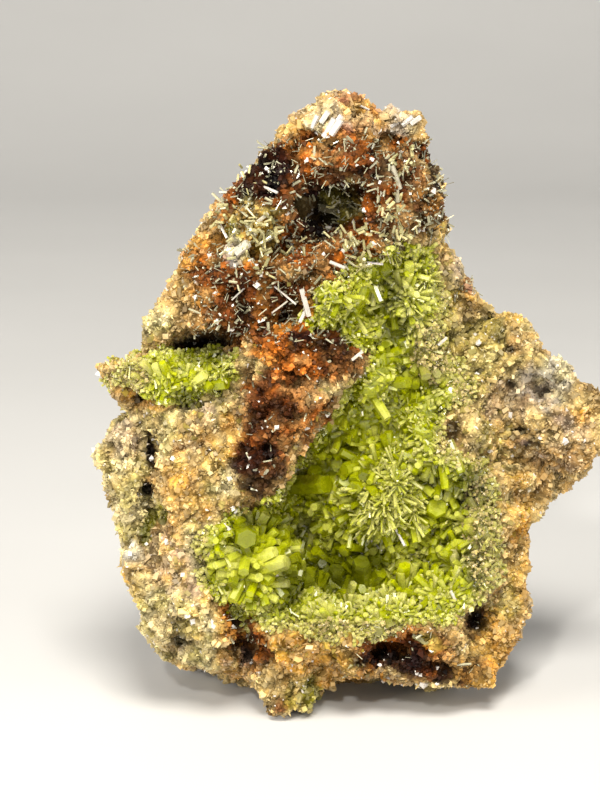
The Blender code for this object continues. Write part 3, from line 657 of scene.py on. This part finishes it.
def mapped(nodes, links, value, given, wanted):
    """A value mapped from the given range to the wanted one."""
    level = nodes.new("ShaderNodeMapRange")
    for end, limit in zip(("From Min", "From Max", "To Min", "To Max"), (*given, *wanted)):
        level.inputs[end].default_value = limit
    links.new(value, level.inputs["Value"])
    return level.outputs["Result"]


def tinted_material(
    name, fine, coarse, contrast, roughness, bump, transmission=0.0, ior=1.5, subsurface=0.0, gleam=0.5
):
    """A material that takes its colour from "tint", mottled by two noises of these sizes in millimetres."""
    material, nodes, links = new_material(name)
    shader = nodes["Principled BSDF"]
    where = nodes.new("ShaderNodeTexCoord").outputs["Object"]
    mottles = [noise_texture(nodes, links, where, size, 3) for size in (fine, coarse)]
    both = nodes.new("ShaderNodeMath")
    both.operation = "ADD"
    for slot, mottle in enumerate(mottles):
        links.new(mottle, both.inputs[slot])
    tint = nodes.new("ShaderNodeAttribute")
    tint.attribute_name = "tint"
    colour = nodes.new("ShaderNodeVectorMath")
    colour.operation = "SCALE"
    links.new(tint.outputs["Color"], colour.inputs[0])
    level = mapped(nodes, links, both.outputs[0], (0.6, 1.4), (1 - contrast, 1 + contrast))
    links.new(level, colour.inputs["Scale"])
    links.new(colour.outputs["Vector"], shader.inputs["Base Color"])
    links.new(mapped(nodes, links, mottles[0], (0.3, 0.7), roughness), shader.inputs["Roughness"])
    if bump:
        raised = nodes.new("ShaderNodeBump")
        raised.inputs["Strength"].default_value = bump
        raised.inputs["Distance"].default_value = BUMP_SIZE * MM
        links.new(noise_texture(nodes, links, where, BUMP_SIZE, 4), raised.inputs["Height"])
        links.new(raised.outputs["Normal"], shader.inputs["Normal"])
    shader.inputs["Transmission Weight"].default_value = transmission
    shader.inputs["IOR"].default_value = ior
    shader.inputs["Subsurface Weight"].default_value = subsurface
    shader.inputs["Subsurface Radius"].default_value = (0.8, 1.0, 0.3)
    shader.inputs["Subsurface Scale"].default_value = 1.0 * MM
    shader.inputs["Specular IOR Level"].default_value = gleam
    return material


ROCK_LOOK = tinted_material("rock", 0.35, 1.6, 0.45, (0.7, 0.95), 0.8, gleam=0.05)
DRUSE_LOOK = tinted_material("druse", 0.5, 3.0, 0.25, (0.3, 0.5), 0.0, transmission=0.15, ior=1.55, gleam=0.4)
GOSSAN_LOOK = tinted_material("gossan", 0.4, 2.0, 0.4, (0.4, 0.7), 0.3, gleam=0.15)
NEEDLE_LOOK = tinted_material("needles", 0.5, 3.0, 0.15, (0.15, 0.3), 0.0, transmission=0.4, ior=1.8)
CRYSTAL_LOOK = tinted_material(
    "green crystal", 0.8, 4.0, 0.2, (0.2, 0.35), 0.0, transmission=0.25, ior=1.7, subsurface=0.3, gleam=0.35
)


# The rock

def rust_cover(points):
    """How far each place belongs to the gossan, from 0 to 1."""
    at = warped(points)
    return np.maximum.reduce([blot_cover(at, blots) for *_, blots in GOSSAN_ZONES])


def held_to_outline(points, normals):
    """The rock's points, moved so that its rim meets the outline that the camera sees; its foot stays."""
    reach = inside_ring(pixels(points), OUTLINE)
    across = normals - np.outer(normals @ TOWARDS, TOWARDS)
    size = np.linalg.norm(across, axis=1)
    at_rim = smooth((size - 0.7) / 0.25) * smooth((30 - reach) / 12)
    move = np.where(reach < 3, reach - 3, (reach - 3) * at_rim) / PIXELS_PER_MM
    move *= smooth((points[:, 2] - 1.5) / 4)
    return points + across / np.maximum(size, 0.3)[:, None] * np.clip(move, -RIM_IN, RIM_OUT)[:, None]


def fine_rock():
    """The rock's mesh, finer than its solid and broken into lumps: points, faces, and how deep in a crease or
    pit, which is painted as shade.
    """
    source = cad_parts["matrix"]
    copy = bpy.data.objects.new("rock copy", source.data.copy())
    bpy.context.scene.collection.objects.link(copy)
    remesh = copy.modifiers.new("fine", "REMESH")
    remesh.mode = "VOXEL"
    remesh.voxel_size = ROCK_VOXEL * MM
    soften = copy.modifiers.new("soften", "SMOOTH")
    soften.factor = 0.5
    soften.iterations = 3
    mesh = bpy.data.meshes.new_from_object(copy.evaluated_get(bpy.context.evaluated_depsgraph_get()))
    bpy.data.objects.remove(copy)
    points, faces = mesh_arrays(mesh)
    points = held_to_outline(points, vertex_normals(points, faces))
    normals = vertex_normals(points, faces)
    at = pixels(points)
    front = seen(points)
    rusty = rust_cover(points) * front
    block = cells(points, BLOCK_SIZE, 31)[0]
    lump, lump_edge = cells(points, LUMP_SIZE, 21)
    chip, chip_edge = cells(points, CHIP_SIZE, 41)
    push = 0.3 * fractal(points, 4.5, 2, 11) + (0.5 - block) * 1.2
    lumps = (0.5 - lump) * (1.6 + 0.6 * rusty) * (1 + 0.6 * noise(points, 7.0, 15))
    push += lumps + (0.5 - chip) * (0.7 + 0.4 * rusty)
    calm = smooth((inside_ring(at, POCKET) - 4) / 16) * front
    push = np.minimum(push, 0.6) * (1 - 0.85 * calm)
    gap = np.maximum(smooth((0.25 - lump_edge) / 0.25), 0.7 * smooth((0.22 - chip_edge) / 0.22))
    pit = smooth((0.36 - cells(points, PIT_SIZE, 61)[0]) / 0.15) * rusty * (1 - calm)
    push -= PIT_DEPTH * pit
    # How deep each place lies in a crease or pit; the colours are painted darker there as shade.
    crease_shade = np.maximum(gap * (1 - calm), pit)
    for across, down, half_x, half_y, depth in HOLES:
        inside = smooth(1.4 - np.hypot((at[:, 0] - across) / half_x, (at[:, 1] - down) / half_y)) * front
        push -= depth * inside
    points += normals * push[:, None]
    points[:, 2] = np.maximum(points[:, 2], 0)
    return points, faces, crease_shade


rock_points, rock_faces, rock_crease_shade = fine_rock()
rock_normals = vertex_normals(rock_points, rock_faces)
# Painted shade: the rock's creases and pits are made darker.
rock_tint = rock_colour(rock_points) * (0.8 - 0.65 * rock_crease_shade)[:, None]
rock = make_object("rock", rock_points, rock_faces, rock_tint, ROCK_LOOK)
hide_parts("matrix")
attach(rock, "root")
rock_tree = BVHTree.FromPolygons([Vector(p) for p in rock_points], rock_faces.tolist())


# Crystals of the pocket and the ledge

PRISM = prism_form([(0, 1), (1, 1)])
# A little barrel-shaped, its far edge bevelled.
LARGE_PRISM = prism_form([(0, 0.85), (0.5, 1.04), (0.93, 1.0), (1.0, 0.86)])
NEEDLE = block_form(0)
CHIP = block_form(-0.5)
GRAIN = grain_form()


def seen_at(across, down):
    """The place on the rock that the camera sees at a pixel of the view."""
    right, up = across - VIEW[0] / 2, VIEW[1] / 2 - down
    way = AIM + RIGHT * right / PIXELS_PER_MM + UP * up / PIXELS_PER_MM - EYE
    return np.array(rock_tree.ray_cast(Vector(EYE), Vector(way / np.linalg.norm(way)))[0])


def painted_recess_shade(points):
    """How much painted shade each deep place of the pocket gets, from 0 to 1."""
    return blot_cover(pixels(points), PAINTED_SHADE_RECESSES)


def green_shade(points, pale):
    """A green for each point, from deep (0) over lime (0.5) to pale (1), with painted shade in the pocket's
    deep places.
    """
    pale = pale[:, None]
    deep = linear(DEEP_GREEN) + (linear(LIME) - linear(DEEP_GREEN)) * np.clip(2 * pale, 0, 1)
    colour = deep + (linear(PALE_LIME) - deep) * np.clip(2 * pale - 1, 0, 1.3)
    fade = 0.7 * blot_cover(pixels(points), FADES)[:, None]
    colour = colour * (1 - fade) + linear(YELLOW_GREEN) * (0.4 + 0.6 * pale) * fade
    # Painted shade: the deep places of the pocket are made darker.
    return colour * (1 - 0.6 * painted_recess_shade(points))[:, None]


def crust_skin(ring):
    """The smooth base of a crust, closed at the back: points, faces, colours and the faces outside."""
    reach = inside_ring(warped(rock_points), ring)
    front = seen(rock_points)
    inside = (reach > -5) & (front > 0.3)
    faces = rock_faces[inside[rock_faces].all(1)]
    used, flat = np.unique(faces, return_inverse=True)
    faces = flat.reshape(-1, 3)
    points, normals = rock_points[used], rock_normals[used]
    form, edge = cells(points, 3.4, 23)
    rise = smooth((reach[used] + 3) / 10)
    lift = (SKIN_LIFT + 1.1 * (0.6 - form) + 0.25 * fractal(points, 2.2, 2, 25)) * rise - 0.5 * (1 - rise)
    top = points + normals * lift[:, None]
    edges = np.concatenate([faces[:, [0, 1]], faces[:, [1, 2]], faces[:, [2, 0]]])
    codes = edges[:, 0] * len(points) + edges[:, 1]
    rim = edges[~np.isin(codes, edges[:, 1] * len(points) + edges[:, 0])]
    low = rim + len(points)
    upper = np.column_stack([rim[:, 1], rim[:, 0], low[:, 0]])
    lower = np.column_stack([rim[:, 1], low[:, 0], low[:, 1]])
    closed = np.concatenate([faces, faces[:, ::-1] + len(points), upper, lower])
    skin = np.concatenate([top, points - normals * SKIN_DEPTH])
    # Darker where the skin's lumps meet: painted shade between them.
    pale = np.clip(0.32 + 0.25 * noise(skin, 2.4, 27) - 0.3 * np.tile(smooth((0.25 - edge) / 0.25), 2), 0, 1)
    return skin, closed, green_shade(skin, pale), faces


def bed_values(points):
    """The radii, lengths, paleness and share of each place's bed."""
    at = pixels(points)
    values = np.tile(np.array([*OTHER_BED[1], *OTHER_BED[2], *OTHER_BED[3:]]), (len(points), 1))
    for blot, radii, lengths, pale, share in reversed(BEDS):
        values[blot_reach(at, blot) < 1] = (*radii, *lengths, pale, share)
    return values


def between(low, high):
    """A random number between each pair."""
    return low + (high - low) * rng.random(len(low))


def shaded(form, placed, pale):
    """Greens of copies of a form, deep at the foot and as pale as given at the tip."""
    up = np.tile(np.clip(form[0][:, 2], 0, 1), len(pale))
    return green_shade(placed, np.clip(0.15 + (np.repeat(pale, len(form[0])) - 0.15) * up**0.7, 0, 1.2))


def sideways(ways):
    """The ways, turned so that few of them point at the camera."""
    most = rng.uniform(0.15, 0.6, len(ways))
    return unit(ways - TOWARDS * np.maximum(ways @ TOWARDS - most, 0)[:, None])


def radiating(points, faces, ring, room, tries):
    """Groups of prisms that spread from a common foot, over a surface; those at its rim are small."""
    at, normals, _ = scatter(points, faces, tries)
    keep = spaced(at, room)
    keep = keep[rng.random(len(keep)) < bed_values(at[keep])[:, 5]]
    group = np.repeat(keep, GROUP)
    values = bed_values(at[group])
    ways = sideways(unit(normals[group] + random_ways(len(group)) * 0.85))
    size = 0.45 + 0.55 * smooth(inside_ring(pixels(at[group]), ring) / 26)
    widths = between(values[:, 0], values[:, 1]) * size
    lengths = SKIN_DEPTH + between(values[:, 2], values[:, 3]) * size
    feet = at[group] - normals[group] * SKIN_DEPTH
    placed, joined = grown(PRISM, feet, ways, widths, lengths)
    pale = np.clip(values[:, 4] + rng.normal(0, 0.2, len(group)), 0, 1)
    return placed, joined, shaded(PRISM, placed, pale)


def fine_prisms(points, faces, count):
    """Fine crystals strewn over a surface, most where its bed is pale."""
    at, normals, _ = scatter(points, faces, count)
    keep = rng.random(count) < 0.05 + bed_values(at)[:, 4]
    at, normals = at[keep], normals[keep]
    ways = sideways(unit(normals * 0.8 + random_ways(len(at))))
    widths = rng.uniform(0.09, 0.26, len(at))
    placed, joined = grown(NEEDLE, at - ways * 0.3, ways, widths, rng.uniform(0.7, 1.5, len(at)))
    return placed, joined, shaded(NEEDLE, placed, np.clip(rng.normal(0.75, 0.25, len(at)), 0, 1.1))


def listed_prisms(listed):
    """The large prisms of a list."""
    table = np.array(listed)
    feet = np.array([seen_at(*row[:2]) for row in listed])
    ways = unit(table[:, 2:5] * (1, -1, 1))
    ways = np.where(table[:, 3:4] < 0.9, ways, sideways(ways))
    length, radius, pale = table[:, 5], table[:, 6], table[:, 7]
    shade_in_crease = 1.2 * radius
    placed, joined = grown(LARGE_PRISM, feet - ways * shade_in_crease[:, None], ways, radius, length + 1 + shade_in_crease)
    return placed, joined, shaded(LARGE_PRISM, placed, pale)


def single_crystals(listed, lift):
    """Thin crystals given by the pixels of their foot and tip."""
    table = np.array(listed)
    feet = np.array([seen_at(*row[:2]) for row in listed])
    drawn = (table[:, 2:4] - table[:, 0:2]) / PIXELS_PER_MM
    spans = RIGHT * drawn[:, 0:1] - UP * drawn[:, 1:2]
    spans = spans + TOWARDS * 0.35 * np.linalg.norm(spans, axis=1)[:, None]
    lengths = np.linalg.norm(spans, axis=1)
    placed, joined = grown(PRISM, feet + TOWARDS * lift, unit(spans), table[:, 4], lengths)
    green = np.repeat(table[:, 5], len(PRISM[0]))[:, None]
    return placed, joined, linear(WHITE) * (1 - green) + linear(OLIVE) * green


def sprays(listed, lift=SKIN_LIFT + 0.2, stray=0.4, radii=(0.06, 0.15), grey=0.0):
    """Needles that spread from the middle of each spray."""
    parts = []
    for across, down, count, length in listed:
        ways = unit(random_ways(count) + TOWARDS * 0.55)
        feet = np.tile(seen_at(across, down) + TOWARDS * lift, (count, 1)) + random_ways(count) * stray
        widths = rng.uniform(*radii, count)
        placed, joined = grown(PRISM, feet, ways, widths, length * rng.uniform(0.6, 1.0, count))
        tint = shaded(PRISM, placed, rng.uniform(0.7, 1.2, count))
        tone = spread(rng.uniform(0.35, 1.0, (count, 1)), PRISM)
        parts.append((placed, joined, tint * (1 - grey) + linear(CREAM) * tone * grey))
    return join(parts)


def add_piece(name, parts, material, node=None):
    """A piece of the specimen; nothing of it reaches below the floor."""
    points, faces, colours = join(parts)
    points[:, 2] = np.maximum(points[:, 2], 0.02)
    piece = make_object(name, points, faces, colours, material)
    if node:
        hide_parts(node)
    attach(piece, "root")


def creeping_druse(points, faces, tries):
    """Beige grains that lie over the crystals where the greens fade."""
    at, normals, _ = scatter(points, faces, tries)
    keep = rng.random(tries) < 0.9 * blot_cover(pixels(at), FADES) ** 2
    at, normals = at[keep], normals[keep]
    widths = 0.12 + 0.26 * rng.random(len(at)) ** 2
    lift = rng.uniform(0.2, 1.0, len(at))
    feet = at + normals * lift[:, None]
    placed, joined = grown(GRAIN, feet, random_ways(len(at)), widths, widths, jitter=0.25)
    tone = spread(rng.uniform(0.35, 1.1, (len(at), 1)), GRAIN)
    return placed, joined, (linear(BEIGE) * 0.6 + linear(YELLOW_GREEN) * 0.4) * tone


def add_crust(name, node, ring, listed, extra, room, tries, fine):
    """A crust in two pieces: its skin with the larger prisms, then the fine crystals over them."""
    skin, closed, colours, outside = crust_skin(ring)
    parts = [(skin, closed, colours), listed_prisms(listed), radiating(skin, outside, ring, room, tries)]
    add_piece(name, parts, CRYSTAL_LOOK, node)
    small = [fine_prisms(skin, outside, fine), creeping_druse(skin, outside, 2 * fine), *extra]
    add_piece(name + "_fine", small, CRYSTAL_LOOK)


add_crust(
    "pocket_prisms", "pocket_crystals", POCKET, POCKET_LARGE,
    [sprays(POCKET_SPRAYS), single_crystals(POCKET_SINGLES_AND_GLINTS, SKIN_LIFT)], room=1.7, tries=9000, fine=9000,
)
add_crust(
    "ledge_prisms", "ledge_crystals", LEDGE, LEDGE_LARGE,
    [sprays(LEDGE_SPRAYS)], room=1.5, tries=3000, fine=1200,
)
clusters = sprays(HEAD_CLUSTERS, lift=0.2, stray=1.6, radii=(0.08, 0.22), grey=0.75)
add_piece("head_crystals", [single_crystals(HEAD_SINGLES, 0.3), clusters], NEEDLE_LOOK)


# Druse, gossan grains and needles on the rock

front_weight = 0.4 + seen(rock_points[rock_faces].mean(1))
at, normals, triangle = scatter(rock_points, rock_faces, TRIED_PLACES, front_weight)
# How deep each place lies in a crease, for painted shade on the grains.
crease_shade = rock_crease_shade[rock_faces[triangle]].mean(1)
front = seen(at)
green = green_cover(at) * front
rust = rust_cover(at) * front
colours = rock_colour(at)
luck = rng.random(len(at))


def tinted(base, low, high, shade_in_crease):
    """Colours made lighter or darker at random and given painted shade in creases, a few of them nearly white
    as painted glints.
    """
    tone = base * rng.uniform(low, high, (len(base), 1)) * (1 - 0.6 * shade_in_crease)[:, None]
    # Painted glints: a few grains outside the creases are nearly white.
    painted_glint = ((rng.random(len(base)) < 0.04) & (shade_in_crease < 0.5))[:, None]
    return np.clip(np.where(painted_glint, linear(WHITE) * 0.9, tone), 0, 1)


# Beige druse: fine grains and a few blunt chips, some of them green near the pocket. Each line has the name,
# the form, how many at most, the least half width and how much more it can be.
picked = np.flatnonzero((green < 0.5) & (rust < luck))
near = smooth((np.maximum(inside_ring(pixels(at), POCKET), inside_ring(pixels(at), LEDGE)) + 50) / 50) * front
greenish = (rng.random(len(at)) < 0.4 * near)[:, None]
beige = np.where(greenish, colours * 0.4 + linear(OLIVE) * 0.6, colours * 0.85 + linear(CREAM) * 0.15)
for name, form, most, low, high in (
    ("grains_0", GRAIN, 16000, 0.1, 0.14),
    ("grains_1", GRAIN, 15000, 0.1, 0.14),
    ("chips", CHIP, 7000, 0.14, 0.26),
):
    pick, picked = picked[:most], picked[most:]
    count = len(pick)
    ways = unit(normals[pick] * 0.5 + random_ways(count))
    widths = low + high * rng.random(count) ** 2
    placed, joined = grown(form, at[pick], ways, widths, widths * rng.uniform(1.0, 3.0, count), jitter=0.15)
    tint = spread(tinted(beige[pick], 0.6, 1.45, crease_shade[pick]), form)
    add_piece(f"beige_{name}", [(placed, joined, tint)], DRUSE_LOOK)

# Gossan: angular grains.
pick = np.flatnonzero((green < 0.5) & (rust >= luck))[:GOSSAN_GRAINS]
count = len(pick)
widths = 0.12 + 0.36 * rng.random(count) ** 2
ways = random_ways(count)
lengths = widths * rng.uniform(0.7, 1.3, count)
placed, joined = grown(GRAIN, at[pick], ways, widths, lengths, jitter=0.25)
tint = spread(tinted(colours[pick], 0.35, 1.5, crease_shade[pick]), GRAIN)
add_piece("gossan_grains", [(placed, joined, tint)], GOSSAN_LOOK)

# Green druse on the rim of the pocket and of the ledge.
pick = np.flatnonzero((green > 0.12) & (green < 0.95) & (luck < 0.95))[:RIM_CRYSTALS]
count = len(pick)
ways = unit(normals[pick] * 0.7 + TOWARDS * 0.2 + random_ways(count) * 0.9)
widths = rng.uniform(0.12, 0.3, count)
placed, joined = grown(NEEDLE, at[pick] - ways * 0.2, ways, widths, rng.uniform(0.45, 1.1, count))
tint = shaded(NEEDLE, placed, rng.uniform(0.5, 1.1, count))
add_piece("rim_druse", [(placed, joined, tint)], CRYSTAL_LOOK)

# Pale needles on the gossan.
down = pixels(at)[:, 1]
on_head = (down > HEAD_ROWS[0]) & (down < HEAD_ROWS[1])
pick = np.flatnonzero((green < 0.4) & (rust > 0.3) & (luck < np.where(on_head, 0.2, 0.02)))[:NEEDLES]
count = len(pick)
ways = unit(normals[pick] * 0.3 + TOWARDS * 0.1 + random_ways(count))
widths = 0.04 + 0.12 * rng.random(count) ** 2
placed, joined = grown(NEEDLE, at[pick] - ways * 0.3, ways, widths, 0.6 + 1.4 * rng.random(count) ** 2)
tint = spread((linear(WHITE) * 0.55 + linear(PALE_LIME) * 0.45) * rng.uniform(0.4, 1.0, (count, 1)), NEEDLE)
add_piece("needles", [(placed, joined, tint)], NEEDLE_LOOK)


# Camera, floor and lights

def add_camera():
    """The camera that sees the specimen as the photo does."""
    data = bpy.data.cameras.new("camera")
    data.sensor_fit = "VERTICAL"
    data.sensor_height = SENSOR_HEIGHT
    data.lens = SENSOR_HEIGHT * CAMERA_DISTANCE * PIXELS_PER_MM / VIEW[1]
    data.clip_start = 0.01
    camera = bpy.data.objects.new("camera", data)
    camera.location = Vector((AIM + TOWARDS * CAMERA_DISTANCE) * MM)
    camera.rotation_euler = (math.pi / 2 - CAMERA_RISE, 0, 0)
    bpy.context.scene.collection.objects.link(camera)
    bpy.context.scene.camera = camera


def add_light(name, place, power, size):
    """A square light that faces the specimen."""
    data = bpy.data.lights.new(name, "AREA")
    data.color = LIGHT_COLOUR
    data.energy = power
    data.size = size
    lamp = bpy.data.objects.new(name, data)
    lamp.location = place
    lamp.rotation_euler = (Vector(LIGHT_TARGET) - Vector(place)).to_track_quat("-Z", "Y").to_euler()
    bpy.context.scene.collection.objects.link(lamp)


def add_world():
    """A faint even light from all around."""
    world = bpy.data.worlds.new("world")
    world.use_nodes = True
    world.node_tree.nodes["Background"].inputs["Color"].default_value = (1, 1, 1, 1)
    world.node_tree.nodes["Background"].inputs["Strength"].default_value = SURROUND
    bpy.context.scene.world = world


def add_stage():
    """A pale floor that curves up into a backdrop."""
    material, nodes, links = new_material("stage")
    texture = nodes.new("ShaderNodeTexNoise")
    texture.inputs["Scale"].default_value = 40
    grey = mapped(nodes, links, texture.outputs["Fac"], (0, 1), (0.55, 0.6))
    links.new(grey, nodes["Principled BSDF"].inputs["Base Color"])
    nodes["Principled BSDF"].inputs["Roughness"].default_value = 0.9
    profile = [(-STAGE_HALF, 0.0)]
    for step in range(BEND_STEPS + 1):
        angle = math.pi / 2 * step / BEND_STEPS
        profile.append((STAGE_BACK + STAGE_BEND * math.sin(angle), STAGE_BEND - STAGE_BEND * math.cos(angle)))
    profile.append((STAGE_BACK + STAGE_BEND, STAGE_TOP))
    points = np.array([(x, y, z) for y, z in profile for x in (-STAGE_HALF, STAGE_HALF)]) / MM
    faces = np.array([(2 * k, 2 * k + 1, 2 * k + 3, 2 * k + 2) for k in range(len(profile) - 1)])
    stage = make_object("stage", points, faces, np.ones((len(points), 3)), material)
    for polygon in stage.data.polygons:
        polygon.use_smooth = True


add_camera()
add_stage()
for light in LIGHTS:
    add_light(*light)
add_world()
bpy.context.scene.view_settings.view_transform = "Standard"
